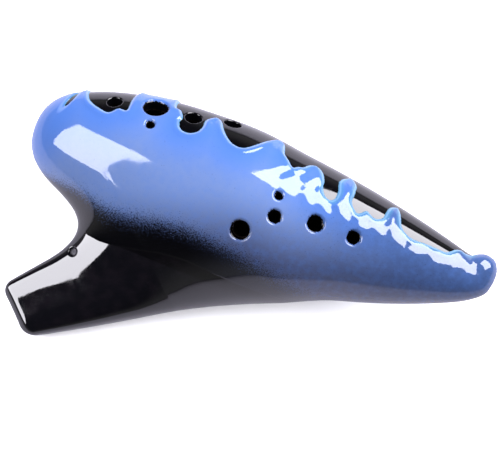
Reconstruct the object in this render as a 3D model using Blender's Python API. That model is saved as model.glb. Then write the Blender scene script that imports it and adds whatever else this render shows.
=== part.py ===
"""Twelve-hole transverse ocarina in glazed ceramic, modelled as the pieces it is luted from.

The instrument frame runs X from the head to the tail, Y away from the player and W out
through the finger holes. One empty carries the whole instrument and lays it on a table.
"""
import math

import bmesh
import bpy
import numpy as np
from mathutils import Matrix, Vector

# Driving dimensions, in metres and radians
LENGTH = 0.175                # head to tail, along the chamber
HEAD_RADIUS = 0.0278          # half width of the chamber at its widest section
WIDEST_AT = 0.0596            # where that section is, from the head
HEAD_FLATNESS = 0.80          # section thickness over width at the head
TAIL_FLATNESS = 0.95          # and at the tail
HEAD_POWER_ALONG = 1.65       # superellipse powers of the rounded head
HEAD_POWER_ACROSS = 2.57
TAIL_RADIUS = 0.0050          # what the taper comes down to at the tail
TAPER_POWER = 2.035
TAIL_CAP = 0.0135             # length of the rounded tail end
TAIL_POWER = 3.07
TAIL_BEND = 0.0064            # how far the tail curves away from the player
TIP_BULB = (0.1705, 0.0111, 0.0)   # bead of glaze-rounded clay at the very end
TIP_BULB_RADIUS = 0.0045
TIP_BULB_BLEND = 0.0036

MOUTH_TIP = (0.0175, -0.0665, 0.0)  # centre of the flat end that goes to the lips
MOUTH_HEADING = math.radians(226.7)
MOUTH_HALF_WIDTH = 0.0105     # at the tip
MOUTH_HALF_THICK = 0.0066     # at the tip
HEAD_SIDE_FLARE = 0.067       # widening towards the chamber, per metre
NEAR_SIDE_FLARE = 0.302
NEAR_SIDE_HOLLOW = -0.68      # bends the near flank inwards, per square metre
THICKNESS_FLARE = 0.10
MOUTH_TIP_POWER = 5.0         # superellipse power of the section at the tip, nearly a rectangle
MOUTH_ROOT_POWER = 2.1        # and where it runs into the chamber, an oval
MOUTH_ROOT_AT = 0.055
MOUTH_CORNER = 0.0041         # rounding around the flat end
MOUTH_DEPTH = 0.103           # how far the mouthpiece's form reaches into the chamber
MOUTH_INNER_ROUND = 0.0136    # rounding of that buried end
FILLET = 0.021                # reach of the fillet between mouthpiece and chamber

FLAT_END = 0.0002             # the tip is ground flat this far in
WALL = 0.0043                 # clay thickness of the chamber
CAVITY_TAIL_END = 0.158       # where the hollow ends
CAVITY_TAIL_CAP = 0.012
GAP = 0.0003                  # clearance between neighbouring pieces
SLIP = 0.0008                 # thickness of the slip in a luted joint
ROOT_Y = -0.0300              # plane where the mouthpiece is luted to the chamber

WINDWAY_WIDTH_IN = 0.0125     # the slot at the lips
WINDWAY_HEIGHT_IN = 0.0021
WINDWAY_WIDTH_OUT = 0.0090    # and where it meets the window
WINDWAY_HEIGHT_OUT = 0.0012
WINDWAY_SLOPE = math.radians(11.6)   # falls towards the back of the chamber
WINDOW_START = 0.0600         # the sounding window, from the mouthpiece's tip
WINDOW_END = 0.0657
WINDOW_WIDTH = 0.0096
LABIUM_LENGTH = 0.0048
LABIUM_SLOPE = math.radians(42.0)    # its ramp, against the instrument's main plane
LABIUM_UNDERCUT = math.radians(10.0)
WINDOW_DEEPEST = 0.030        # the window is cut between these depths behind the main plane
WINDOW_SHALLOWEST = 0.008
RAMP_REACH = 0.020
OVERCUT = 0.001               # cutters run this far past what they open
STRAP_HOLE_AT = (0.0290, 0.0100)     # along and across the mouthpiece
STRAP_HOLE_DIAMETER = 0.0030

# Finger holes on the front: name, X, Y, diameter
FINGER_HOLES = (
    ("left_index", 0.0254, 0.0184, 0.0061),
    ("left_middle", 0.0404, 0.0218, 0.0094),
    ("left_sub", 0.0418, 0.0153, 0.0034),
    ("left_ring", 0.0546, 0.0235, 0.0067),
    ("left_little", 0.0681, 0.0268, 0.0070),
    ("right_index", 0.0868, -0.0077, 0.0072),
    ("right_middle", 0.0964, 0.0013, 0.0049),
    ("right_sub", 0.0949, 0.0086, 0.0032),
    ("right_ring", 0.1105, 0.0043, 0.0061),
    ("right_little", 0.1247, 0.0046, 0.0050),
)
# Thumb holes on the back
THUMB_HOLES = (
    ("left_thumb", 0.0400, 0.0040, 0.0085),
    ("right_thumb", 0.1010, 0.0000, 0.0080),
)
HOLE_DEPTH = 0.012            # cutters reach this far either side of the surface
HOLE_SEGMENTS = 20
BISECTIONS = 40               # halvings when a point of the surface is looked up
CUT_REACH = 0.05              # cutters through the whole thickness reach this far from its middle

COAT_THICKNESS = 0.0006
# Edge of the blue glaze on the far side, where it ran in drips, X, Y. The first and last
# points only steer the line's ends.
DRIP_LINE = (
    (-0.030, 0.030), (-0.010, 0.030), (0.0130, 0.0215), (0.0190, 0.0150), (0.0260, 0.0141),
    (0.0310, 0.0175), (0.0325, 0.0400), (0.0455, 0.0400), (0.0475, 0.0245), (0.0515, 0.0190),
    (0.0565, 0.0178), (0.0605, 0.0240), (0.0645, 0.0253), (0.0750, 0.0193), (0.0830, 0.0250),
    (0.0885, 0.0262), (0.0930, 0.0205), (0.0960, 0.0195), (0.1008, 0.0230), (0.1060, 0.0205),
    (0.1120, 0.0150), (0.1130, 0.0205), (0.1155, 0.0228), (0.1185, 0.0190), (0.1215, 0.0135),
    (0.1280, 0.0132), (0.1315, 0.0160), (0.1342, 0.0198), (0.1375, 0.0165), (0.1425, 0.0108),
    (0.1560, 0.0108), (0.1610, 0.0141), (0.1650, 0.0145), (0.1690, 0.0300), (0.200, 0.030),
)
# Its faded edge on the near side
FADE_LINE = (
    (-0.030, -0.008), (-0.010, -0.011), (0.0370, -0.0140), (0.0790, -0.0170), (0.1050, -0.0220),
    (0.1200, -0.0400), (0.185, -0.0400), (0.200, -0.0400),
)

BODY_VOXEL = 0.0044           # mesh size of the outer surface
SMOOTHING_ROUNDS = 4
BODY_ROUND = 40               # points around the rough skin's sections
MOUTH_ROUND = 24
MOUTH_STATIONS = 8
CAVITY_ROUND = 28
FAR = 0.3                     # reach of the blocks that divide the clay
REST_ROLL = math.radians(16.39)      # turn about X that lets the mouthpiece touch the table
REST_PITCH = math.radians(-0.83)

BLACK_GLAZE = ((0.012, 0.012, 0.016), 0.12, 0.0)
BLUE_GLAZE = ((0.12, 0.25, 0.72), 0.14, 0.0)
BARE_CLAY = ((0.30, 0.20, 0.14), 0.75, 0.0)


# ---- the outer form, as a field that is zero on the surface and negative inside ----

def smooth_min(first, second, reach):
    """Union of two fields with a fillet of the given reach."""
    blend = np.maximum(reach - np.abs(first - second), 0.0) / reach
    return np.minimum(first, second) - blend * blend * reach / 4


def rounded_corner(first, second, radius):
    """Intersection of two fields with a rounded edge."""
    first = first + radius
    second = second + radius
    outside = np.hypot(np.maximum(first, 0.0), np.maximum(second, 0.0))
    return outside + np.minimum(np.maximum(first, second), 0.0) - radius


def chamber_level(points):
    """Level of the chamber: zero on the surface, below zero inside, not a true distance."""
    x, y, w = points.T
    along = np.clip((x - WIDEST_AT) / (LENGTH - WIDEST_AT), 0.0, 1.1)
    taper = 1.0 - (1.0 - TAIL_RADIUS / HEAD_RADIUS) * along ** TAPER_POWER
    flatness = HEAD_FLATNESS + (TAIL_FLATNESS - HEAD_FLATNESS) * along
    across = np.hypot(y - TAIL_BEND * along ** 2, w / flatness) / (HEAD_RADIUS * taper)
    across = np.maximum(across, 1e-3)
    to_head = np.maximum(WIDEST_AT - x, 0.0) / WIDEST_AT
    to_tail = np.maximum(x - LENGTH + TAIL_CAP, 0.0) / TAIL_CAP
    head = (to_head ** HEAD_POWER_ALONG + across ** HEAD_POWER_ACROSS) ** (1 / HEAD_POWER_ACROSS)
    tail = (to_tail ** TAIL_POWER + across ** TAIL_POWER) ** (1 / TAIL_POWER)
    return np.where(x < WIDEST_AT, head, tail) - 1.0


def gradient(field, points, step=0.00005):
    """Slope of a field at each point, by central differences."""
    slopes = []
    for axis in np.eye(3) * step:
        slopes.append((field(points + axis) - field(points - axis)) / (2 * step))
    return np.stack(slopes, axis=1)


def chamber_distance(points):
    """The chamber's level divided by its slope, close to the true distance."""
    slope = np.linalg.norm(gradient(chamber_level, points), axis=1)
    return chamber_level(points) / np.maximum(slope, 1.0)


def mouth_section(inwards):
    """Centre, half width, half thickness and squareness of the mouthpiece's section."""
    head_side = MOUTH_HALF_WIDTH + HEAD_SIDE_FLARE * inwards
    near_side = MOUTH_HALF_WIDTH + NEAR_SIDE_FLARE * inwards + NEAR_SIDE_HOLLOW * inwards ** 2
    half_thick = MOUTH_HALF_THICK + THICKNESS_FLARE * inwards
    share = np.clip(inwards / MOUTH_ROOT_AT, 0.0, 1.0)
    power = MOUTH_TIP_POWER + (MOUTH_ROOT_POWER - MOUTH_TIP_POWER) * share
    return (head_side - near_side) / 2, (head_side + near_side) / 2, half_thick, power


def mouthpiece_level(points):
    """Level of the mouthpiece's endless flared form: below zero inside."""
    inwards, across, w = points.T
    centre, half_width, half_thick, power = mouth_section(np.maximum(inwards, -MOUTH_CORNER))
    wide = np.maximum(np.abs(across - centre) / half_width, 1e-3)
    thick = np.maximum(np.abs(w) / half_thick, 1e-3)
    return (wide ** power + thick ** power) ** (1 / power) - 1.0


def mouthpiece_distance(points):
    """The flared mouthpiece, ended flat at the lips and inside the chamber."""
    heading = np.array((math.cos(MOUTH_HEADING), math.sin(MOUTH_HEADING)))
    from_tip = points[:, :2] - np.array(MOUTH_TIP[:2])
    across = from_tip @ np.array((heading[1], -heading[0]))
    local = np.column_stack((-from_tip @ heading, across, points[:, 2]))
    slope = np.linalg.norm(gradient(mouthpiece_level, local), axis=1)
    flank = mouthpiece_level(local) / np.maximum(slope, 1.0)
    flank = rounded_corner(flank, local[:, 0] - MOUTH_DEPTH, MOUTH_INNER_ROUND)
    return rounded_corner(flank, -local[:, 0], MOUTH_CORNER)


def body_distance(points):
    """Chamber, tail bead and mouthpiece blended into one form."""
    bulb = np.linalg.norm(points - np.array(TIP_BULB), axis=1) - TIP_BULB_RADIUS
    chamber = smooth_min(chamber_distance(points), bulb, TIP_BULB_BLEND)
    return smooth_min(chamber, mouthpiece_distance(points), FILLET)


def settle_on_form(points, level=0.0, steps=6):
    """Move points along the field's slope until they lie on the given level."""
    for _ in range(steps):
        slope = gradient(body_distance, points)
        length_squared = np.maximum((slope ** 2).sum(axis=1), 0.2)
        points = points - slope * ((body_distance(points) - level) / length_squared)[:, None]
    return points


# ---- scene, materials and small helpers ----

def clear_scene():
    for old in list(bpy.data.objects):
        bpy.data.objects.remove(old, do_unlink=True)


def make_material(name, finish):
    colour, roughness, metallic = finish
    material = bpy.data.materials.new(name)
    material.use_nodes = True
    shader = material.node_tree.nodes["Principled BSDF"]
    shader.inputs["Base Color"].default_value = (*colour, 1.0)
    shader.inputs["Roughness"].default_value = roughness
    shader.inputs["Metallic"].default_value = metallic
    return material


def add_object(name, mesh, carrier):
    piece = bpy.data.objects.new(name, mesh)
    bpy.context.collection.objects.link(piece)
    piece.parent = carrier
    return piece


def add_form(name, form, carrier, placement=Matrix.Identity(4)):
    """Turn a finished bmesh into an object of the instrument."""
    form.transform(placement)
    mesh = bpy.data.meshes.new(name)
    form.to_mesh(mesh)
    form.free()
    return add_object(name, mesh, carrier)


def prism(name, outline, low, high, carrier, placement=Matrix.Identity(4)):
    """Straight prism: an outline in the first two axes, from low to high on the third."""
    form = bmesh.new()
    base = form.faces.new([form.verts.new((a, b, low)) for a, b in outline])
    top = bmesh.ops.extrude_face_region(form, geom=[base])
    lifted = [item for item in top["geom"] if isinstance(item, bmesh.types.BMVert)]
    bmesh.ops.translate(form, verts=lifted, vec=(0.0, 0.0, high - low))
    bmesh.ops.recalc_face_normals(form, faces=form.faces)
    return add_form(name, form, carrier, placement)


def block(name, lows, highs, carrier, placement=Matrix.Identity(4)):
    outline = ((lows[0], lows[1]), (highs[0], lows[1]), (highs[0], highs[1]), (lows[0], highs[1]))
    return prism(name, outline, lows[2], highs[2], carrier, placement)


def as_cutter(piece):
    piece.hide_render = True
    piece.display_type = 'WIRE'
    return piece


def carve(piece, cutter, operation='DIFFERENCE'):
    modifier = piece.modifiers.new(cutter.name, 'BOOLEAN')
    modifier.operation = operation
    modifier.solver = 'EXACT'
    modifier.object = as_cutter(cutter)


def finish_piece(piece, material):
    piece.data.materials.clear()
    piece.data.materials.append(material)
    piece.data.shade_smooth()
    piece.data.set_sharp_from_angle(angle=math.radians(35))
    return piece


# ---- outer surface ----

def loft(name, rings, carrier, placement=Matrix.Identity(4)):
    """Closed skin through rings of points, with both ends filled."""
    form = bmesh.new()
    rows = [[form.verts.new(point) for point in ring] for ring in rings]
    for ring, following in zip(rows, rows[1:]):
        for index in range(len(ring)):
            after = (index + 1) % len(ring)
            form.faces.new((ring[index], ring[after], following[after], following[index]))
    form.faces.new(rows[0])
    form.faces.new(rows[-1])
    bmesh.ops.recalc_face_normals(form, faces=form.faces)
    return add_form(name, form, carrier, placement)


def oval(along, centre, half_width, half_thick, power, segments):
    """Ring of a superellipse in the plane at one station."""
    ring = []
    for index in range(segments):
        turn = 2 * math.pi * (index + 0.5) / segments
        wide = math.copysign(abs(math.cos(turn)) ** (2 / power), math.cos(turn))
        thick = math.copysign(abs(math.sin(turn)) ** (2 / power), math.sin(turn))
        ring.append((along, centre + half_width * wide, half_thick * thick))
    return ring


def chamber_section(x, inset, tail_end, tail_cap):
    """Centre, half width and half thickness of the chamber's section, drawn in by inset."""
    along = max(x - WIDEST_AT, 0.0) / (LENGTH - WIDEST_AT)
    taper = 1.0 - (1.0 - TAIL_RADIUS / HEAD_RADIUS) * along ** TAPER_POWER
    flatness = HEAD_FLATNESS + (TAIL_FLATNESS - HEAD_FLATNESS) * along
    to_head = min(max(WIDEST_AT - x, 0.0) / (WIDEST_AT - inset), 1.0)
    head = (1.0 - to_head ** HEAD_POWER_ALONG) ** (1 / HEAD_POWER_ACROSS)
    to_tail = min(max(x - tail_end + tail_cap, 0.0) / tail_cap, 1.0)
    tail = math.sqrt(1.0 - to_tail ** 2)
    half_width = (HEAD_RADIUS * taper - inset) * head * tail
    half_thick = (HEAD_RADIUS * taper * flatness - inset) * head * tail
    return TAIL_BEND * along ** 2, half_width, half_thick


def eased_stations(start, end, count):
    """Stations crowded towards both ends, where a closed skin turns fastest."""
    places = []
    for index in range(count):
        share = (index + 0.5) / count
        places.append(start + (end - start) * (1 - math.cos(math.pi * share)) / 2)
    return places


def chamber_rings(inset, tail_end, tail_cap, count, segments):
    return [oval(x, *chamber_section(x, inset, tail_end, tail_cap), 2.0, segments)
            for x in eased_stations(inset, tail_end, count)]


def settle_mesh(form, level):
    points = settle_on_form(np.array([vert.co for vert in form.verts]), level)
    for vert, point in zip(form.verts, points):
        vert.co = point


def body_surface(name, carrier, frame):
    """Chamber and mouthpiece as one skin, meshed evenly and settled on the blended form."""
    rough = loft(name, chamber_rings(0.0, LENGTH, TAIL_CAP, 28, BODY_ROUND), carrier)
    stations = [MOUTH_DEPTH * share / MOUTH_STATIONS for share in range(MOUTH_STATIONS + 1)]
    rings = [oval(station, *mouth_section(station), MOUTH_ROUND) for station in stations]
    wedge = loft(name + "_wedge", rings, carrier, frame)
    carve(rough, wedge, 'UNION')
    remesh = rough.modifiers.new("even mesh", 'REMESH')
    remesh.mode = 'VOXEL'
    remesh.voxel_size = BODY_VOXEL
    evaluated = rough.evaluated_get(bpy.context.evaluated_depsgraph_get())
    skin = bpy.data.meshes.new_from_object(evaluated)
    skin.name = name
    bpy.data.objects.remove(rough, do_unlink=True)
    bpy.data.objects.remove(wedge, do_unlink=True)
    form = bmesh.new()
    form.from_mesh(skin)
    for _ in range(SMOOTHING_ROUNDS):
        settle_mesh(form, 0.0)
        bmesh.ops.smooth_vert(form, verts=form.verts, factor=0.5, use_axis_x=True,
                              use_axis_y=True, use_axis_z=True)
    settle_mesh(form, 0.0)
    bmesh.ops.triangulate(form, faces=form.faces)
    form.to_mesh(skin)
    form.free()
    return skin


def raised_surface(name, skin, level):
    """The same skin lifted off the clay by the given distance."""
    form = bmesh.new()
    form.from_mesh(skin)
    settle_mesh(form, level)
    raised = bpy.data.meshes.new(name)
    form.to_mesh(raised)
    form.free()
    return raised


def mouth_frame():
    """Places the mouthpiece's own axes: inwards, towards the head side, and W."""
    inwards = Vector((-math.cos(MOUTH_HEADING), -math.sin(MOUTH_HEADING), 0.0))
    up = Vector((0.0, 0.0, 1.0))
    across = up.cross(inwards)
    frame = Matrix((inwards, across, up)).transposed().to_4x4()
    frame.translation = Vector(MOUTH_TIP)
    return frame


# ---- cutters ----

def surface_point(x, y, side):
    """Where a line along W through X, Y meets the outer surface on one side."""
    inside, outside = 0.0, side * CUT_REACH
    for _ in range(BISECTIONS):
        middle = (inside + outside) / 2
        if body_distance(np.array([[x, y, middle]]))[0] < 0:
            inside = middle
        else:
            outside = middle
    return Vector((x, y, inside))


def hole_cutters(name, holes, side, carrier):
    """One object of round cutters, each square to the surface it goes through."""
    form = bmesh.new()
    for _, x, y, diameter in holes:
        mouth = surface_point(x, y, side)
        normal = Vector(gradient(body_distance, np.array([mouth]))[0])
        turn = Vector((0, 0, 1)).rotation_difference(normal).to_matrix().to_4x4()
        bmesh.ops.create_cone(form, cap_ends=True, segments=HOLE_SEGMENTS, radius1=diameter / 2,
                              radius2=diameter / 2, depth=2 * HOLE_DEPTH,
                              matrix=Matrix.Translation(mouth) @ turn)
    return as_cutter(add_form(name, form, carrier))


def tapered_slot(name, start, end, carrier, placement):
    """Flat slot, wider and taller at the lips than at the window."""
    form = bmesh.new()
    corners = ((-1, -1), (1, -1), (1, 1), (-1, 1))
    sections = ((start, WINDWAY_WIDTH_IN / 2, WINDWAY_HEIGHT_IN / 2),
                (end, WINDWAY_WIDTH_OUT / 2, WINDWAY_HEIGHT_OUT / 2))
    rings = [[form.verts.new((along, half_width * across, half_height * up))
              for across, up in corners] for along, half_width, half_height in sections]
    for index in range(4):
        after = (index + 1) % 4
        form.faces.new((rings[0][index], rings[0][after], rings[1][after], rings[1][index]))
    for ring in rings:
        form.faces.new(ring)
    bmesh.ops.recalc_face_normals(form, faces=form.faces)
    return as_cutter(add_form(name, form, carrier, placement))


def cord_hole_cutter(name, carrier, frame):
    """Round bore straight through the mouthpiece's root, square to its flat faces."""
    form = bmesh.new()
    place = frame @ Matrix.Translation((*STRAP_HOLE_AT, 0.0))
    radius = STRAP_HOLE_DIAMETER / 2
    bmesh.ops.create_cone(form, cap_ends=True, segments=HOLE_SEGMENTS, radius1=radius,
                          radius2=radius, depth=2 * CUT_REACH, matrix=place)
    return as_cutter(add_form(name, form, carrier))


def smooth_line(points, steps=3):
    """Catmull-Rom line through the given points."""
    line = []
    for index in range(1, len(points) - 2):
        before, start, end, after = (Vector(points[index + shift]) for shift in (-1, 0, 1, 2))
        for step in range(steps):
            t = step / steps
            line.append(0.5 * (2 * start + (end - before) * t
                               + (2 * before - 5 * start + 4 * end - after) * t ** 2
                               + (3 * start - before - 3 * end + after) * t ** 3))
    line.append(Vector(points[-2]))
    return [tuple(point) for point in line]


def rest_on_table(carrier, pieces):
    """Lay the instrument down with its footprint's centre at the origin."""
    carrier.rotation_euler = (REST_ROLL, REST_PITCH, 0.0)
    bpy.context.view_layer.update()
    graph = bpy.context.evaluated_depsgraph_get()
    points = []
    for piece in pieces:
        shape = piece.evaluated_get(graph)
        points += [carrier.matrix_world @ vert.co for vert in shape.to_mesh().vertices]
        shape.to_mesh_clear()
    lows = [min(point[axis] for point in points) for axis in range(3)]
    highs = [max(point[axis] for point in points) for axis in range(3)]
    carrier.location = (-(lows[0] + highs[0]) / 2, -(lows[1] + highs[1]) / 2, -lows[2])


def main():
    clear_scene()
    black = make_material("black_glaze", BLACK_GLAZE)
    blue = make_material("blue_glaze", BLUE_GLAZE)
    clay = make_material("bare_clay", BARE_CLAY)
    carrier = bpy.data.objects.new("instrument", None)
    bpy.context.collection.objects.link(carrier)
    frame = mouth_frame()

    skin = body_surface("body_skin", carrier, frame)
    cavity = as_cutter(loft("cavity", chamber_rings(WALL, CAVITY_TAIL_END, CAVITY_TAIL_CAP, 20,
                                                    CAVITY_ROUND), carrier))
    finger_holes = hole_cutters("finger_holes", FINGER_HOLES, 1, carrier)
    thumb_holes = hole_cutters("thumb_holes", THUMB_HOLES, -1, carrier)

    # blocks that divide the clay: front and back halves, mouthpiece, and the slip between them
    seam = SLIP / 2 + GAP
    luted = ROOT_Y + SLIP / 2 + GAP
    front_half = block("front_half", (-FAR, luted, seam), (FAR, FAR, FAR), carrier)
    back_half = block("back_half", (-FAR, luted, -FAR), (FAR, FAR, -seam), carrier)
    seam_slab = block("seam_slab", (-FAR, luted, -SLIP / 2), (FAR, FAR, SLIP / 2), carrier)
    collar_slab = block("collar_slab", (-FAR, ROOT_Y - SLIP / 2, -FAR),
                        (FAR, ROOT_Y + SLIP / 2, FAR), carrier)
    mouth_slab = block("mouth_slab", (-FAR, -FAR, -FAR), (FAR, ROOT_Y - SLIP / 2 - GAP, FAR), carrier)

    # windway, and the plane of its floor, where the cover slab meets the mouthpiece
    fall = math.tan(WINDWAY_SLOPE)
    lean = Matrix.Identity(4)
    lean[2][0] = -fall
    sloped = frame @ lean
    windway = tapered_slot("windway", -OVERCUT, WINDOW_START + OVERCUT, carrier, sloped)
    floor = -WINDWAY_HEIGHT_OUT / 2
    body_side = block("body_side", (FLAT_END, -FAR, floor), (FAR, FAR, FAR), carrier, sloped)
    cover_side = block("cover_side", (FLAT_END, -FAR, -FAR), (FAR, FAR, floor - GAP), carrier, sloped)
    cord_hole = cord_hole_cutter("cord_hole", carrier, frame)

    # window, labium and the ramp that runs out behind it, drawn from the side
    half = WINDOW_WIDTH / 2
    ramp_start = WINDOW_END + LABIUM_LENGTH
    window = block("window", (WINDOW_START, -half, -WINDOW_DEEPEST),
                   (ramp_start + GAP, half, -WINDOW_SHALLOWEST), carrier, frame)
    edge_w = -WINDOW_END * fall
    ramp_fall = math.tan(LABIUM_SLOPE)
    ramp_w = edge_w - LABIUM_LENGTH * ramp_fall
    under_w = edge_w - LABIUM_LENGTH * math.tan(LABIUM_UNDERCUT)
    side_on = frame @ Matrix(((1, 0, 0, 0), (0, 0, -1, 0), (0, 1, 0, 0), (0, 0, 0, 1)))
    labium = prism("labium", ((WINDOW_END, edge_w), (ramp_start, ramp_w), (ramp_start, under_w)),
                   -half + GAP, half - GAP, carrier, side_on)
    ramp = prism("ramp", ((ramp_start - OVERCUT, ramp_w + OVERCUT * ramp_fall),
                          (ramp_start + RAMP_REACH, ramp_w - RAMP_REACH * ramp_fall),
                          (ramp_start - OVERCUT, ramp_w - CUT_REACH)),
                 -half, half, carrier, side_on)

    front = add_object("front_shell", skin, carrier)
    carve(front, front_half, 'INTERSECT')
    carve(front, cavity)
    carve(front, finger_holes)
    finish_piece(front, black)

    back = add_object("back_shell", skin.copy(), carrier)
    carve(back, back_half, 'INTERSECT')
    carve(back, cavity)
    carve(back, thumb_holes)
    carve(back, windway)
    carve(back, window)
    carve(back, ramp)
    finish_piece(back, black)

    slip = add_object("seam_slip", skin.copy(), carrier)
    carve(slip, seam_slab, 'INTERSECT')
    carve(slip, cavity)
    finish_piece(slip, clay)

    mouthpiece = add_object("mouthpiece", skin.copy(), carrier)
    carve(mouthpiece, mouth_slab, 'INTERSECT')
    carve(mouthpiece, body_side, 'INTERSECT')
    carve(mouthpiece, windway)
    carve(mouthpiece, cord_hole)
    finish_piece(mouthpiece, black)

    cover = add_object("windway_cover", skin.copy(), carrier)
    carve(cover, mouth_slab, 'INTERSECT')
    carve(cover, cover_side, 'INTERSECT')
    carve(cover, windway)
    carve(cover, cord_hole)
    finish_piece(cover, black)

    collar = add_object("mouthpiece_slip", skin.copy(), carrier)
    carve(collar, collar_slab, 'INTERSECT')
    carve(collar, windway)
    finish_piece(collar, clay)

    finish_piece(labium, clay)

    raised = raised_surface("coat_skin", skin, GAP + COAT_THICKNESS)
    coat = add_object("blue_glaze_coat", raised, carrier)
    underside = add_object("coat_underside", raised_surface("coat_under_skin", skin, GAP), carrier)
    outline = smooth_line(DRIP_LINE) + smooth_line(FADE_LINE)[::-1]
    glazed_area = prism("glazed_area", outline[::-1], -CUT_REACH, CUT_REACH, carrier)
    carve(coat, underside)
    carve(coat, glazed_area, 'INTERSECT')
    carve(coat, finger_holes)
    carve(coat, thumb_holes)
    carve(coat, window)
    carve(coat, ramp)
    finish_piece(coat, blue)

    rest_on_table(carrier, (front, back, slip, mouthpiece, cover, collar, coat))


main()
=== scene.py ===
"""Looks of a glazed twelve-hole ocarina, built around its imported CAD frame.

The instrument frame runs X from the head to the tail, Y away from the player and W out
through the finger holes. All shapes are worked out there, in metres, and then laid on the
table by one placement, which is the one the CAD parts have.
"""
import math

import bmesh
import bpy
import numpy as np
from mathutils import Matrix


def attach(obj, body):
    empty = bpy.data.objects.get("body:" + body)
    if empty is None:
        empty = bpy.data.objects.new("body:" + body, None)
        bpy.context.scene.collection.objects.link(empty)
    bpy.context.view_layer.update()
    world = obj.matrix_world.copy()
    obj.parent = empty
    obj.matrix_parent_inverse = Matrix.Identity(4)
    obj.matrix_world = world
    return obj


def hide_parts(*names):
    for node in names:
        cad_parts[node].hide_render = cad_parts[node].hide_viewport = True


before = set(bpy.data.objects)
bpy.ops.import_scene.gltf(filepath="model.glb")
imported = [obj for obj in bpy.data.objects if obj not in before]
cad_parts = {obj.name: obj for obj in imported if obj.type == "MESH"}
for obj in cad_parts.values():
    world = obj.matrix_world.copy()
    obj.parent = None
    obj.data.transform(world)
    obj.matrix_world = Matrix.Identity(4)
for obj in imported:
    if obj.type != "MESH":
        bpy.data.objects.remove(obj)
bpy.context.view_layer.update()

import openvdb
from mathutils import Matrix, Vector

# ---- the instrument's driving dimensions, as in the CAD ----
MM = 0.001
LENGTH = 0.175
HEAD_RADIUS = 0.0278
WIDEST_AT = 0.0596
HEAD_FLATNESS = 0.80
TAIL_FLATNESS = 0.95
HEAD_POWER_ALONG = 1.65
HEAD_POWER_ACROSS = 2.57
TAIL_RADIUS = 0.0050
TAPER_POWER = 2.035
TAIL_CAP = 0.0135
TAIL_POWER = 3.07
TAIL_BEND = 0.0064
TIP_BULB = (0.1705, 0.0111, 0.0)
TIP_BULB_RADIUS = 0.0045
TIP_BULB_BLEND = 0.0036
MOUTH_TIP = (0.0175, -0.0665, 0.0)
MOUTH_HEADING = math.radians(226.7)
MOUTH_HALF_WIDTH = 0.0105
MOUTH_HALF_THICK = 0.0066
HEAD_SIDE_FLARE = 0.067
NEAR_SIDE_FLARE = 0.302
NEAR_SIDE_HOLLOW = -0.68
THICKNESS_FLARE = 0.10
MOUTH_TIP_POWER = 5.0
MOUTH_ROOT_POWER = 2.1
MOUTH_ROOT_AT = 0.055
MOUTH_CORNER = 0.0041
MOUTH_DEPTH = 0.103
MOUTH_INNER_ROUND = 0.0136
FILLET = 0.021
WALL = 0.0043
CAVITY_TAIL_END = 0.158
CAVITY_TAIL_CAP = 0.012
SLIP = 0.0008
ROOT_Y = -0.0300
WINDWAY_IN = (0.0125, 0.0021)        # width and height at the lips
WINDWAY_OUT = (0.0090, 0.0012)       # and at the window
WINDWAY_SLOPE = math.radians(11.6)
WINDOW_START = 0.0600
WINDOW_END = 0.0657
WINDOW_WIDTH = 0.0096
WINDOW_TOP = 0.008                   # the window is cut below this W
LABIUM_LENGTH = 0.0048
LABIUM_SLOPE = math.radians(42.0)
LABIUM_UNDERCUT = math.radians(10.0)
CORD_HOLE = (0.0300, 0.0099, 0.0030)  # along and across the mouthpiece, diameter
REST_ROLL = math.radians(16.39)
REST_PITCH = math.radians(-0.83)
REST_PLACE = (-0.08710, 0.02100, 0.02543)

# Holes: X, Y, diameter, side of the instrument
HOLES = (
    (0.0254, 0.0184, 0.0061, 1), (0.0404, 0.0218, 0.0094, 1), (0.0418, 0.0153, 0.0034, 1),
    (0.0546, 0.0235, 0.0067, 1), (0.0681, 0.0268, 0.0070, 1), (0.0868, -0.0077, 0.0072, 1),
    (0.0964, 0.0013, 0.0049, 1), (0.0949, 0.0086, 0.0032, 1), (0.1105, 0.0043, 0.0061, 1),
    (0.1247, 0.0046, 0.0050, 1), (0.0400, 0.0040, 0.0085, -1), (0.1010, 0.0000, 0.0080, -1),
)
HOLE_DEPTH = 0.012
HOLE_RIM = 0.0006             # rounding of the glazed rim
HOLE_GLAZE = 0.0003           # glaze takes this much off a bore's radius
CORD_RIM = 0.0011
WINDOW_RIM = 0.0003

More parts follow.
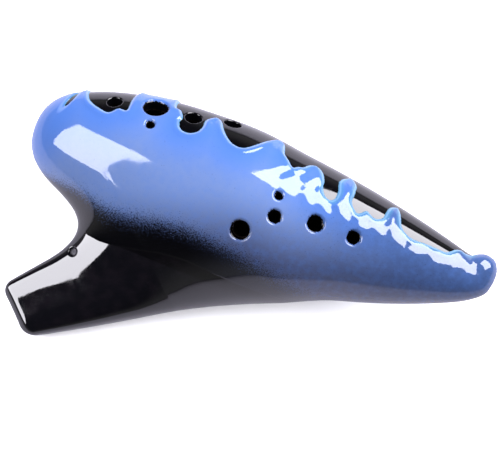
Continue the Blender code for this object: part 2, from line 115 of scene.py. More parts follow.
# ---- the blue glaze ----
# Edge on the far side, where it ran in drips, in millimetres of X and Y
DRIP_LINE = (
    (-30, 30), (-10, 30), (11.0, 22.0), (14.5, 17.4), (17.0, 15.2), (21.0, 14.1), (25.5, 13.8),
    (28.2, 16.5), (31.3, 16.9), (31.2, 20.0), (31.0, 24.0), (31.5, 40), (46.5, 40), (46.3, 26.0),
    (49.2, 24.0), (51.1, 22.0), (50.9, 20.2), (52.0, 18.2), (54.0, 17.4), (56.6, 17.7),
    (58.8, 19.4), (59.4, 21.4), (59.2, 23.8), (60.2, 25.4), (62.3, 26.3), (64.5, 25.6),
    (66.5, 23.4), (69.3, 21.1), (72.5, 19.6), (76.2, 19.7), (79.3, 22.0), (82.3, 25.1),
    (85.0, 26.8), (88.2, 26.3), (89.4, 24.6), (90.2, 23.2), (92.5, 21.6), (95.0, 19.8),
    (96.8, 20.7), (98.4, 21.2), (99.9, 22.7), (102.2, 23.3), (105.2, 22.0), (107.0, 19.6),
    (107.9, 16.7), (109.8, 14.5), (112.1, 13.8), (113.4, 15.1), (113.4, 17.6), (112.3, 20.2),
    (112.5, 22.3), (115.0, 23.6), (118.0, 22.0), (118.8, 19.0), (119.0, 16.4), (120.8, 14.1),
    (123.0, 13.0), (125.2, 15.0), (127.0, 14.3), (129.2, 13.6), (131.4, 14.6), (131.8, 17.2),
    (132.3, 19.2), (134.5, 20.0), (136.6, 18.1), (138.6, 14.5), (141.4, 12.5), (145.0, 11.7),
    (149.0, 11.9), (153.0, 11.8), (156.8, 11.8), (159.2, 13.8), (161.0, 14.3), (163.2, 13.8),
    (165.4, 14.2), (168.0, 17.0), (172, 24), (200, 40), (230, 40),
)
# Middle of the airbrushed edge on the near side
FADE_LINE = (
    (-60, -14), (-20, -14), (14, -15.2), (26, -15.3), (39, -17.6), (50, -16.2), (62, -13.9),
    (74, -13.4), (90, -15.2), (108, -17.5), (125, -20), (150, -24), (200, -30),
)
BARE_SPOT = (9.6, 13.1, 3.1, 0.8, math.radians(73))   # X, Y, half length, half width, turn
COAT_HEIGHT = 0.62            # all heights and distances of the coat are in millimetres
BEAD_HEIGHT = 0.26
BEAD_AT = 1.5                 # distance of the bead's crest from the drip edge
BEAD_SPREAD = 1.1
ROLL_HEIGHT = 0.34            # the broad roll behind the drips, towards the tail
ROLL_AT = 5.0
ROLL_SPREAD = 4.0
TAIL_RUNS = (92, 108)         # X over which the roll sets in
WAVE_RUNS = (78, 100)         # X over which the waves set in
WAVE_HEIGHT = 0.13
WAVE_REACH = 5.5
SPOT_LIP = 0.8
LIP_WIDTH = 1.9
HOLE_LIP_WIDTH = 0.7
HOLE_BARE_RIM = 0.12
FADE_HEIGHT_FROM = -8.0       # around the fade line the coat thins out over this range
FADE_HEIGHT_TO = 13.0
FADE_HEIGHT = 0.02            # to this height, and then ends
END_DROP = 0.6                # by dropping this far into the clay
END_DROP_OVER = 4.0           # over this distance
SPRAY_FROM = -7.5             # black overspray either side of the fade line
SPRAY_TO = 10.5
COAT_UNDER = 0.30             # the coat's edge dips this far into the clay before it is cut

SKIN_STEP = 0.00092           # mesh size of the coat
CLAY_STEP = 0.00062           # and of the clay pieces

# ---- camera and light ----
CAMERA_TARGET = (-0.0007, 0.0164, 0.0200)
CAMERA_DISTANCE = 0.900
CAMERA_AZIMUTH = math.radians(22.37)
CAMERA_ELEVATION = math.radians(73.63)
CAMERA_ROLL = math.radians(0.45)
CAMERA_LENS = 177.4
SOFTBOX_TINT = (0.94, 0.93, 1.0)
SOFTBOX_DISTANCE = 0.75
LEFT_TARGET = (-0.05, 0.01, 0.04)
LEFT_TOWARDS = (-0.69, -0.235, 0.68)
BACK_TARGET = (0.02, 0.02, 0.03)
BACK_AZIMUTH = 64
BACK_ELEVATION = 36.5
# Each softbox: shift along its own sides, size, brightness against white, turn
LEFT_SOFTBOX = ((0.0, 0.0), (0.57, 0.42), 12.5, math.radians(-43))
LOW_SOFTBOX = ((0.14, 0.035), (0.80, 0.64), 18.0, math.radians(-62))
BACK_SOFTBOX = ((-0.125, 0.07), (0.75, 0.58), 16.0, 0.0)
FLOOR_WASH = ((0.0, 0.0), (1.8, 1.8), 4.2, 0.0)
WASH_HEIGHT = 1.2
FLOOR_REACH = 4.0
FLOOR_SEEN = (0.90, 0.90, 0.91)      # the floor's colour to the camera
FLOOR_MIRRORED = (0.32, 0.31, 0.35)  # and in the glaze


# ---- fields: zero on a surface, negative inside ----

def smooth_min(first, second, reach):
    """Union of two fields with a fillet of the given reach."""
    blend = np.maximum(reach - np.abs(first - second), 0.0) / reach
    return np.minimum(first, second) - blend * blend * reach / 4


def rounded_corner(first, second, radius):
    """Intersection of two fields with a rounded edge."""
    first = first + radius
    second = second + radius
    outside = np.hypot(np.maximum(first, 0.0), np.maximum(second, 0.0))
    return outside + np.minimum(np.maximum(first, second), 0.0) - radius


def gradient(field, points, step=0.00005):
    """Slope of a field at each point, by central differences."""
    slopes = []
    for axis in np.eye(3) * step:
        slopes.append((field(points + axis) - field(points - axis)) / (2 * step))
    return np.stack(slopes, axis=1)


def as_distance(level_field, points):
    """A level divided by its slope, close to the true distance."""
    slope = np.linalg.norm(gradient(level_field, points), axis=1)
    return level_field(points) / np.maximum(slope, 1.0)


def egg_level(points, inset, tail_end, tail_cap, tail_power):
    """The chamber's tapering egg, drawn in by inset."""
    x, y, w = points.T
    along = np.clip((x - WIDEST_AT) / (LENGTH - WIDEST_AT), 0.0, 1.1)
    taper = 1.0 - (1.0 - TAIL_RADIUS / HEAD_RADIUS) * along ** TAPER_POWER
    flatness = HEAD_FLATNESS + (TAIL_FLATNESS - HEAD_FLATNESS) * along
    half_width = np.maximum(HEAD_RADIUS * taper - inset, 0.0005)
    half_thick = np.maximum(HEAD_RADIUS * taper * flatness - inset, 0.0005)
    across = np.hypot((y - TAIL_BEND * along ** 2) / half_width, w / half_thick)
    across = np.maximum(across, 1e-3)
    to_head = np.maximum(WIDEST_AT - x, 0.0) / (WIDEST_AT - inset)
    to_tail = np.maximum(x - tail_end + tail_cap, 0.0) / tail_cap
    head = (to_head ** HEAD_POWER_ALONG + across ** HEAD_POWER_ACROSS) ** (1 / HEAD_POWER_ACROSS)
    tail = (to_tail ** tail_power + across ** tail_power) ** (1 / tail_power)
    return np.where(x < WIDEST_AT, head, tail) - 1.0


def chamber_level(points):
    return egg_level(points, 0.0, LENGTH, TAIL_CAP, TAIL_POWER)


def cavity_level(points):
    return egg_level(points, WALL, CAVITY_TAIL_END, CAVITY_TAIL_CAP, 2.0)


def mouth_section(inwards):
    """Centre, half width, half thickness and squareness of the mouthpiece's section."""
    head_side = MOUTH_HALF_WIDTH + HEAD_SIDE_FLARE * inwards
    near_side = MOUTH_HALF_WIDTH + NEAR_SIDE_FLARE * inwards + NEAR_SIDE_HOLLOW * inwards ** 2
    half_thick = MOUTH_HALF_THICK + THICKNESS_FLARE * inwards
    share = np.clip(inwards / MOUTH_ROOT_AT, 0.0, 1.0)
    power = MOUTH_TIP_POWER + (MOUTH_ROOT_POWER - MOUTH_TIP_POWER) * share
    return (head_side - near_side) / 2, (head_side + near_side) / 2, half_thick, power


def mouthpiece_level(points):
    inwards, across, w = points.T
    centre, half_width, half_thick, power = mouth_section(np.maximum(inwards, -MOUTH_CORNER))
    wide = np.maximum(np.abs(across - centre) / half_width, 1e-3)
    thick = np.maximum(np.abs(w) / half_thick, 1e-3)
    return (wide ** power + thick ** power) ** (1 / power) - 1.0


def to_mouth(points):
    """Points in the mouthpiece's own frame: inwards from its tip, across, and W."""
    heading = np.array((math.cos(MOUTH_HEADING), math.sin(MOUTH_HEADING)))
    from_tip = points[:, :2] - np.array(MOUTH_TIP[:2])
    across = from_tip @ np.array((heading[1], -heading[0]))
    return np.column_stack((-from_tip @ heading, across, points[:, 2]))


def body_distance(points):
    """The outer form: chamber, tail bead and mouthpiece blended into one."""
    bulb = np.linalg.norm(points - np.array(TIP_BULB), axis=1) - TIP_BULB_RADIUS
    chamber = smooth_min(as_distance(chamber_level, points), bulb, TIP_BULB_BLEND)
    local = to_mouth(points)
    flank = as_distance(mouthpiece_level, local)
    flank = rounded_corner(flank, local[:, 0] - MOUTH_DEPTH, MOUTH_INNER_ROUND)
    mouth = rounded_corner(flank, -local[:, 0], MOUTH_CORNER)
    return smooth_min(chamber, mouth, FILLET)


def unit_normals(field, points):
    slope = gradient(field, points)
    return slope / np.maximum(np.linalg.norm(slope, axis=1), 1e-9)[:, None]


def surface_point(x, y, side):
    """Where a line along W through X, Y meets the outer surface on one side."""
    heights = np.linspace(0.0, side * 0.04, 4001)
    column = np.column_stack((np.full_like(heights, x), np.full_like(heights, y), heights))
    first_outside = np.argmax(body_distance(column) > 0)
    return column[first_outside]


def hole_axes():
    """Mouth, outward axis and radius of every finger and thumb hole."""
    axes = []
    for x, y, diameter, side in HOLES:
        mouth = surface_point(x, y, side)
        axes.append((mouth, unit_normals(body_distance, mouth[None])[0], diameter / 2))
    return axes


HOLE_AXES = hole_axes()


def bore_distance(points, mouth, axis, radius):
    """Distance to one hole's cylinder, negative in the bore."""
    offset = points - mouth
    depth = offset @ axis
    around = np.linalg.norm(offset - depth[:, None] * axis, axis=1)
    return np.maximum(around - radius, np.abs(depth) - HOLE_DEPTH)


def windway_distance(local):
    """The slot from the lips to the window, which falls towards the back."""
    inwards, across, w = local.T
    share = np.clip(inwards / WINDOW_START, 0.0, 1.0)
    half_width = (WINDWAY_IN[0] + (WINDWAY_OUT[0] - WINDWAY_IN[0]) * share) / 2
    half_height = (WINDWAY_IN[1] + (WINDWAY_OUT[1] - WINDWAY_IN[1]) * share) / 2
    sides = np.maximum(np.abs(across) - half_width,
                       np.abs(w + inwards * math.tan(WINDWAY_SLOPE)) - half_height)
    return np.maximum(sides, inwards - WINDOW_START - 0.001)


def window_distance(local):
    """The sounding window and the ramp that runs out behind its edge."""
    inwards, across, w = local.T
    ramp_start = WINDOW_END + LABIUM_LENGTH
    ramp_w = -WINDOW_END * math.tan(WINDWAY_SLOPE) - LABIUM_LENGTH * math.tan(LABIUM_SLOPE)
    middle = (WINDOW_START + ramp_start) / 2
    box = np.maximum(np.abs(inwards - middle) - (ramp_start - WINDOW_START) / 2, w + WINDOW_TOP)
    above_ramp = w - ramp_w + (inwards - ramp_start) * math.tan(LABIUM_SLOPE)
    slope_side = above_ramp * math.cos(LABIUM_SLOPE)
    ramp = np.maximum(slope_side, ramp_start - 0.001 - inwards)
    return np.maximum(np.minimum(box, ramp), np.abs(across) - WINDOW_WIDTH / 2)


def cord_hole_distance(local):
    around = np.hypot(local[:, 0] - CORD_HOLE[0], local[:, 1] - CORD_HOLE[1])
    return around - CORD_HOLE[2] / 2 + HOLE_GLAZE


def clay_distance(points):
    """The whole pierced and hollow body, as the luted pieces make it up."""
    clay = np.maximum(body_distance(points), -as_distance(cavity_level, points))
    for mouth, axis, radius in HOLE_AXES:
        bore = bore_distance(points, mouth, axis, radius - HOLE_GLAZE)
        clay = rounded_corner(clay, -bore, HOLE_RIM)
    local = to_mouth(points)
    clay = rounded_corner(clay, -windway_distance(local), WINDOW_RIM)
    clay = rounded_corner(clay, -window_distance(local), WINDOW_RIM)
    return rounded_corner(clay, -cord_hole_distance(local), CORD_RIM)


# ---- meshing a field ----

def grid_points(origin, step, shape):
    axes = [origin[axis] + step * np.arange(shape[axis]) for axis in range(3)]
    return np.stack(np.meshgrid(*axes, indexing='ij'), axis=-1).reshape(-1, 3)


def field_grid(field, step):
    """Dense samples of a field, worked out finely only where its surface is near."""
    lows = np.array((-0.006, -0.076, -0.030))
    highs = np.array((0.181, 0.034, 0.030))
    ratio = 4
    coarse_shape = tuple(np.ceil((highs - lows) / (step * ratio)).astype(int))
    middle = lows + step * (ratio - 1) / 2
    coarse = field(grid_points(middle, step * ratio, coarse_shape)).reshape(coarse_shape)
    near = np.abs(coarse) < step * ratio * 1.35
    dense = coarse.astype(np.float32)
    for axis in range(3):
        dense = dense.repeat(ratio, axis=axis)
        near = near.repeat(ratio, axis=axis)
    cells = np.argwhere(near)
    dense[near] = field(lows + cells * step)
    return lows, dense


def settle(field, points, level=0.0, steps=2):
    """Move points along the field's slope until they lie on the given level."""
    for _ in range(steps):
        slope = gradient(field, points)
        length_squared = np.maximum((slope ** 2).sum(axis=1), 0.3)
        points = points - slope * ((field(points) - level) / length_squared)[:, None]
    return points


def mesh_field(field, step):
    """Triangles of a field's zero surface, with the points settled on it."""
    lows, dense = field_grid(field, step)
    grid = openvdb.FloatGrid(3 * step)
    grid.copyFromArray(np.clip(dense, -3 * step, 3 * step), tolerance=0.0)
    cells, quads = grid.convertToQuads(0.0)
    points = lows + cells.astype(float) * step
    points = settle(field, points)
    quads = quads.astype(np.int64)
    triangles = np.concatenate((quads[:, (0, 1, 2)], quads[:, (0, 2, 3)]))
    corners = points[triangles]
    facing = np.cross(corners[:, 1] - corners[:, 0], corners[:, 2] - corners[:, 0])
    sample = slice(None, None, 50)
    outward = unit_normals(field, corners[sample].mean(axis=1))
    if (facing[sample] * outward).sum() < 0:
        triangles = triangles[:, ::-1]
    return points, triangles


def triangle_edges(triangles):
    return np.concatenate([triangles[:, (0, 1)], triangles[:, (1, 2)], triangles[:, (2, 0)]])


def refine(points, triangles, wanted):
    """Split the edges whose middles are wanted, and the triangles around them."""
    edges = np.sort(triangle_edges(triangles), axis=1)
    unique, back = np.unique(edges, axis=0, return_inverse=True)
    back = back.reshape(3, -1).T
    middles = points[unique].mean(axis=1)
    chosen = wanted(middles)
    number = np.full(len(unique), -1)
    number[chosen] = len(points) + np.arange(chosen.sum())
    points = np.concatenate((points, middles[chosen]))
    cut = number[back]
    made = []
    for pattern in range(8):
        flags = [bool(pattern & 1), bool(pattern & 2), bool(pattern & 4)]
        here = np.all((cut >= 0) == flags, axis=1)
        corner, middle = triangles[here], cut[here]
        turn = {1: 0, 2: 1, 4: 2, 3: 0, 6: 1, 5: 2}.get(pattern, 0)
        order = [turn, (turn + 1) % 3, (turn + 2) % 3]
        a, b, c = (corner[:, index] for index in order)
        ab, bc, ca = (middle[:, index] for index in order)
        if pattern == 0:
            parts = ((a, b, c),)
        elif pattern == 7:
            parts = ((a, ab, ca), (ab, b, bc), (ca, bc, c), (ab, bc, ca))
        elif pattern in (1, 2, 4):
            parts = ((a, ab, c), (ab, b, c))
        else:
            parts = ((ab, b, bc), (a, ab, c), (ab, bc, c))
        made += [np.stack(part, axis=1) for part in parts]
    return points, np.concatenate(made)


# ---- the glaze: where it lies and how thick it is, in millimetres ----

def smooth_line(points, steps):
    """Catmull-Rom line through all but the first and last of the given points."""
    points = np.array(points, float)
    line = []
    for before, start, end, after in zip(points, points[1:], points[2:], points[3:]):
        for t in np.arange(steps) / steps:
            line.append(0.5 * (2 * start + (end - before) * t
                               + (2 * before - 5 * start + 4 * end - after) * t ** 2
                               + (3 * start - before - 3 * end + after) * t ** 3))
    line.append(points[-2])
    return np.array(line)


def line_distance(points, line):
    """Distance to a line in X and Y, positive on its right, and the way it grows."""
    best = np.full(len(points), np.inf)
    side = np.ones(len(points))
    away = np.zeros((len(points), 2))
    for start, end in zip(line, line[1:]):
        along = end - start
        share = np.clip(((points - start) @ along) / (along @ along), 0.0, 1.0)
        offset = points - start - share[:, None] * along
        distance = np.hypot(offset[:, 0], offset[:, 1])
        closer = distance < best - 1e-9
        best[closer] = distance[closer]
        away[closer] = offset[closer]
        turn = along[0] * (points[:, 1] - start[1]) - along[1] * (points[:, 0] - start[0])
        side[closer] = np.where(turn[closer] > 0, -1.0, 1.0)
    away = away * (side / np.maximum(best, 1e-9))[:, None]
    return best * side, away


def smoothstep(low, high, value):
    share = np.clip((value - low) / (high - low), 0.0, 1.0)
    return share * share * (3 - 2 * share)


def along_surface(distance, away, normals):
    """A distance measured in X and Y, turned into one along the sloping surface."""
    lean = (away * normals[:, :2]).sum(axis=1)
    return distance / np.sqrt(np.maximum(1 - lean ** 2, 0.04))


def inside_outline(points, line):
    """Whether points in X and Y lie on the near side of the drip line, by crossings."""
    crossings = np.zeros(len(points), int)
    closed = np.vstack((line, (line[-1][0], -200.0), (line[0][0], -200.0), line[:1]))
    for start, end in zip(closed, closed[1:]):
        spans = (start[1] > points[:, 1]) != (end[1] > points[:, 1])
        rise = end[1] - start[1]
        if rise == 0:
            continue
        at = start[0] + (points[:, 1] - start[1]) * (end[0] - start[0]) / rise
        crossings += spans & (points[:, 0] < at)
    return crossings % 2 == 1


def glaze_places(points):
    """For points on the skin: distance into the blue, past the fade line, and to a hole."""
    normals = unit_normals(body_distance, points)
    flat = points[:, :2] / MM
    line = smooth_line(DRIP_LINE, 5)
    distance, away = line_distance(flat, line)
    sign = np.where(inside_outline(flat, line), 1.0, -1.0)
    away = away * (sign * np.sign(distance))[:, None]
    drip = along_surface(np.abs(distance) * sign, away, normals)
    faded, away = line_distance(flat, smooth_line(FADE_LINE, 4))
    faded = along_surface(faded, away, normals)
    hole = np.full(len(points), 50.0)
    for mouth, axis, radius in HOLE_AXES:
        hole = np.minimum(hole, bore_distance(points, mouth, axis, radius) / MM)
    local = to_mouth(points)
    hole = np.minimum(hole, window_distance(local) / MM)
    x, y, half_length, half_width, turn = BARE_SPOT
    offset = flat - (x, y)
    lengthwise = offset @ (math.cos(turn), math.sin(turn)) / half_length
    crosswise = offset @ (-math.sin(turn), math.cos(turn)) / half_width
    spot = (np.hypot(lengthwise, crosswise) - 1.0) * half_width
    spot = np.where(points[:, 2] > 0, spot, 50.0)
    return drip, faded, hole, spot


def lip(distance, width):
    """Rounded edge of a thick glaze: 0 at its edge, 1 from the given width inwards."""
    inside = np.clip(distance / width, 0.0, 1.0)
    return np.where(distance > 0, np.sqrt(1 - (1 - inside) ** 2), distance / width)


def coat_height(points, places):
    """Height of the blue glaze over the clay."""
    drip, faded, hole, spot = places
    x, y, w = points.T / MM
    height = np.minimum(lip(drip, LIP_WIDTH), lip(hole - HOLE_BARE_RIM, HOLE_LIP_WIDTH))
    height = np.minimum(height, lip(spot, SPOT_LIP))
    height = height * COAT_HEIGHT
    near_edge = np.exp(-((drip - BEAD_AT) / BEAD_SPREAD) ** 2)
    tailwards = smoothstep(*TAIL_RUNS, x)
    height += BEAD_HEIGHT * near_edge * smoothstep(0.2, 1.2, drip) * (1 - 0.7 * tailwards)
    rolled = smoothstep(0.5, ROLL_AT, drip)
    rolled *= np.exp(-(np.maximum(drip - ROLL_AT, 0) / ROLL_SPREAD) ** 2)
    height += ROLL_HEIGHT * rolled * tailwards
    # waves where the glaze ran thick, strongest towards the tail
    running = smoothstep(0.3, 2.0, drip) * np.exp(-(np.maximum(drip - 2, 0) / WAVE_REACH) ** 2)
    running *= smoothstep(*WAVE_RUNS, x)
    waves = np.sin(x * 0.93 + 1.4 * np.sin(y * 0.55)) + 0.7 * np.sin(x * 0.57 - y * 1.1 + 1.0)
    height += WAVE_HEIGHT * running * waves
    thin = smoothstep(FADE_HEIGHT_FROM, FADE_HEIGHT_TO, faded)
    thinned = height * (1 - thin) + np.minimum(height, FADE_HEIGHT) * thin
    return thinned - END_DROP * smoothstep(FADE_HEIGHT_TO, FADE_HEIGHT_TO + END_DROP_OVER, faded)


def overspray(points, places):
    """Share of black airbrushed glaze, 0 to 1."""
    faded = places[1]
    x = points[:, 0] / MM
    spray = -0.35 + 1.7 * smoothstep(SPRAY_FROM, SPRAY_TO, faded) + smoothstep(6.0, 16.0, faded)
    return spray * (1 - 0.55 * smoothstep(84, 125, x))


# ---- objects ----

def placement():
    turn = Matrix.Rotation(REST_PITCH, 4, 'Y') @ Matrix.Rotation(REST_ROLL, 4, 'X')
    return Matrix.Translation(REST_PLACE) @ turn


PLACE = placement()


def add_attribute(mesh, name, values):
    layer = mesh.attributes.new(name, 'FLOAT', 'POINT')
    layer.data.foreach_set("value", np.asarray(values, np.float32))


def store_looks(mesh, points, height=None):
    """Per-point values that the glazes' shaders read."""
    places = glaze_places(points)
    drip, faded, hole, spot = places
    add_attribute(mesh, "drip", np.minimum(drip, spot))
    add_attribute(mesh, "spray", overspray(points, places))
    add_attribute(mesh, "hole", hole)
    add_attribute(mesh, "depth", -body_distance(points) / MM)
    add_attribute(mesh, "height", coat_height(points, places) if height is None else height)
    place = mesh.attributes.new("place", 'FLOAT_VECTOR', 'POINT')
    place.data.foreach_set("vector", (points / MM).astype(np.float32).ravel())


def dress(piece, material, nodes):
    piece.data.materials.append(material)
    piece.data.transform(PLACE)
    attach(piece, "root")
    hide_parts(*nodes)
    return piece


def cut_and_cap(form, point, normal):
    """Keep what lies behind a plane and close the cut."""
    geometry = form.verts[:] + form.edges[:] + form.faces[:]
    cut = bmesh.ops.bisect_plane(form, geom=geometry, dist=1e-7, plane_co=point, plane_no=normal,
                                 clear_outer=True)
    edges = [item for item in cut["geom_cut"] if isinstance(item, bmesh.types.BMEdge)]
    bmesh.ops.triangle_fill(form, use_beauty=True, edges=edges, normal=normal)


def clay_piece(name, whole, cuts, material):
    """One luted piece: the whole body cut down by planes, each cut closed."""
    form = bmesh.new()
    form.from_mesh(whole)
    for point, normal in cuts:
        cut_and_cap(form, Vector(point), Vector(normal))
    mesh = bpy.data.meshes.new(name)
    bmesh.ops.triangulate(form, faces=form.faces)
    bmesh.ops.recalc_face_normals(form, faces=form.faces)
    form.to_mesh(mesh)
    form.free()
    mesh.shade_smooth()
    points = np.zeros(len(mesh.vertices) * 3)
    mesh.vertices.foreach_get("co", points)
    points = points.reshape(-1, 3)
    store_looks(mesh, points)
    corner_points = np.zeros(len(mesh.loops), np.int64)
    mesh.loops.foreach_get("vertex_index", corner_points)
    face_normals = np.zeros(len(mesh.polygons) * 3)
    mesh.polygons.foreach_get("normal", face_normals)
    corner_faces = np.repeat(face_normals.reshape(-1, 3), 3, axis=0)
    normals = unit_normals(clay_distance, points)[corner_points]
    flat = (normals * corner_faces).sum(axis=1) < 0.6
    normals[flat] = corner_faces[flat]
    mesh.normals_split_custom_set(normals)
    piece = bpy.data.objects.new(name, mesh)
    bpy.context.scene.collection.objects.link(piece)
    return dress(piece, material, (name,))


def build_clay(black):
    """The six luted clay pieces; gives back the three of the mouthpiece."""
    points, triangles = mesh_field(clay_distance, CLAY_STEP)

    def near_rim(middles):
        close = np.zeros(len(middles), bool)
        for mouth, axis, radius in HOLE_AXES:
            close |= np.abs(bore_distance(middles, mouth, axis, radius)) < 0.0009
            close |= np.abs(cord_hole_distance(to_mouth(middles))) < 0.0014
        return close & (body_distance(middles) > -0.0015)

    points, triangles = refine(points, triangles, near_rim)
    points = settle(clay_distance, points, steps=1)
    whole = bpy.data.meshes.new("whole_body")
    whole.from_pydata(points, [], triangles)
    half = SLIP / 2
    seam_up, seam_down = (0, 0, half), (0, 0, -half)
    luted_in, luted_out = (0, ROOT_Y + half, 0), (0, ROOT_Y - half, 0)
    up, down, away, near = (0, 0, 1), (0, 0, -1), (0, 1, 0), (0, -1, 0)
    fall = math.tan(WINDWAY_SLOPE)
    inwards = (-math.cos(MOUTH_HEADING), -math.sin(MOUTH_HEADING))
    floor_up = Vector((inwards[0] * fall, inwards[1] * fall, 1.0)).normalized()
    floor = Vector(MOUTH_TIP) + Vector((0, 0, -WINDWAY_OUT[1] / 2))
    halves = (
        ("front_shell", ((seam_up, down), (luted_in, near)), "black_glaze"),
        ("back_shell", ((seam_down, up), (luted_in, near)), "black_glaze"),
        ("seam_slip", ((seam_up, up), (seam_down, down), (luted_in, near)), "bare_clay"),
    )
    flared = (
        ("mouthpiece", ((luted_out, away), (floor, -floor_up)), "black_glaze"),
        ("windway_cover", ((luted_out, away), (floor, floor_up)), "black_glaze"),
        ("mouthpiece_slip", ((luted_in, away), (luted_out, near)), "bare_clay"),
    )
    for name, cuts, slot in halves:
        clay_piece(name, whole, cuts, black)
    flared = [clay_piece(name, whole, cuts, black) for name, cuts, slot in flared]
    bpy.data.meshes.remove(whole)
    return flared


def build_labium(clay):
    """The wedge that splits the air jet, with its corners just eased."""
    edge_w = -WINDOW_END * math.tan(WINDWAY_SLOPE)
    end = WINDOW_END + LABIUM_LENGTH
    side = ((WINDOW_END, edge_w), (end, edge_w - LABIUM_LENGTH * math.tan(LABIUM_SLOPE)),
            (end, edge_w - LABIUM_LENGTH * math.tan(LABIUM_UNDERCUT)))
    half = WINDOW_WIDTH / 2
    form = bmesh.new()
    near, far = ([form.verts.new((along, place, w)) for along, w in side] for place in (-half, half))
    form.faces.new(near)
    form.faces.new(far[::-1])
    for index in range(3):
        after = (index + 1) % 3
        form.faces.new((near[index], far[index], far[after], near[after]))
    bmesh.ops.bevel(form, geom=form.edges[:], offset=0.00012, segments=2, affect='EDGES', profile=0.5)
    bmesh.ops.recalc_face_normals(form, faces=form.faces)
    inwards = Vector((-math.cos(MOUTH_HEADING), -math.sin(MOUTH_HEADING), 0.0))
    up = Vector((0.0, 0.0, 1.0))
    placed = Matrix((inwards, up.cross(inwards), up)).transposed().to_4x4()
    placed.translation = Vector(MOUTH_TIP)
    form.transform(placed)
    mesh = bpy.data.meshes.new("labium")
    form.to_mesh(mesh)
    form.free()
    mesh.shade_smooth()
    mesh.set_sharp_from_angle(angle=math.radians(40))
    points = np.array([vert.co for vert in mesh.vertices])
    store_looks(mesh, points)
    piece = bpy.data.objects.new("labium", mesh)
    bpy.context.scene.collection.objects.link(piece)
    dress(piece, clay, ("labium",))


def build_coat(blue):
    """The thick blue glaze: a closed skin whose lip dips into the black glaze at its edge."""
    points, triangles = mesh_field(body_distance, SKIN_STEP)

    def wanted(middles):
        drip, faded, hole, spot = glaze_places(middles)
        close = (drip > -0.8) & (drip < 3.0)
        close |= (hole > -0.4) & (hole < 1.4)
        close |= (spot > -0.5) & (spot < 1.0)
        close |= (faded > FADE_HEIGHT_TO - 0.6) & (faded < FADE_HEIGHT_TO + 2.0)
        return close & (faded < FADE_HEIGHT_TO + 2.0)

    points, triangles = refine(points, triangles, wanted)
    points = settle(body_distance, points, steps=1)
    places = glaze_places(points)
    height = coat_height(points, places)
    kept = (height[triangles] > -COAT_UNDER).all(axis=1)
    kept &= (places[2][triangles] > -0.2).all(axis=1)
    triangles = triangles[kept]
    used, triangles = np.unique(triangles, return_inverse=True)
    triangles = triangles.reshape(-1, 3)
    points, height = points[used], height[used]
    outward = unit_normals(body_distance, points)
    top = points + outward * (height * MM)[:, None]
    under = points - outward * (COAT_UNDER + 0.02) * MM
    edges = triangle_edges(triangles)
    keys = np.sort(edges, axis=1)
    _, back, counts = np.unique(keys, axis=0, return_inverse=True, return_counts=True)
    border = edges[counts[back.ravel()] == 1]
    count = len(points)
    rim = np.concatenate((np.column_stack((border[:, 0], border[:, 0] + count, border[:, 1] + count)),
                          np.column_stack((border[:, 0], border[:, 1] + count, border[:, 1]))))
    faces = np.concatenate((triangles, triangles[:, ::-1] + count, rim))
    mesh = bpy.data.meshes.new("blue_glaze_coat")
    mesh.from_pydata(np.concatenate((top, under)), [], faces)
    mesh.shade_smooth()
    mesh.set_sharp_from_angle(angle=math.radians(70))
    both = np.concatenate((points, points))
    store_looks(mesh, both)
    piece = bpy.data.objects.new("blue_glaze_coat", mesh)
    bpy.context.scene.collection.objects.link(piece)
    dress(piece, blue, ("blue_glaze_coat",))


# ---- materials ----

class Shades:
    """Short-hand for building one material's node tree."""

    def __init__(self, name):
        self.material = bpy.data.materials.new(name)
        self.material.use_nodes = True
        self.tree = self.material.node_tree
        self.shader = self.tree.nodes["Principled BSDF"]

    def put(self, socket, value):
        if isinstance(value, bpy.types.NodeSocket):
            self.tree.links.new(value, socket)
        elif isinstance(value, tuple) and len(value) == 3 and socket.type == 'RGBA':
            socket.default_value = (*value, 1.0)
        else:
            socket.default_value = value

    def node(self, kind, **inputs):
        node = self.tree.nodes.new(kind)
        for name, value in inputs.items():
            self.put(node.inputs[name.replace("_", " ")], value)
        return node

    def read(self, name, output='Fac'):
        node = self.tree.nodes.new('ShaderNodeAttribute')
        node.attribute_name = name
        return node.outputs[output]

    def maths(self, operation, first, second=0.0, third=0.0):
        node = self.tree.nodes.new('ShaderNodeMath')
        node.operation = operation
        for socket, value in zip(node.inputs, (first, second, third)):
            self.put(socket, value)
        return node.outputs[0]

    def ramp(self, value, low, high, start=0.0, end=1.0):
        """Smooth change from start to end as the value goes from low to high."""
        node = self.node('ShaderNodeMapRange', Value=value)
        node.interpolation_type = 'SMOOTHSTEP'
        for name, number in (("From Min", low), ("From Max", high), ("To Min", start), ("To Max", end)):
            node.inputs[name].default_value = number
        return node.outputs[0]

    def mix(self, share, first, second):
        node = self.tree.nodes.new('ShaderNodeMix')
        node.data_type = 'RGBA'
        self.put(node.inputs[0], share)
        self.put(node.inputs[6], first)
        self.put(node.inputs[7], second)
        return node.outputs[2]

    def noise(self, scale, detail=2.0, roughness=0.5):
        """Cloudy noise around 0.5; scale is in waves per millimetre."""
        node = self.node('ShaderNodeTexNoise', Vector=self.read("place", 'Vector'), Scale=scale,
                         Detail=detail, Roughness=roughness)
        return node.outputs[0]

    def bump(self, height, distance, before=None):
        node = self.node('ShaderNodeBump', Height=height, Distance=distance)
        if before is not None:
            self.put(node.inputs["Normal"], before)
        return node.outputs[0]

    def finish(self, **inputs):
        for name, value in inputs.items():
            self.put(self.shader.inputs[name.replace("_", " ")], value)
        return self.material


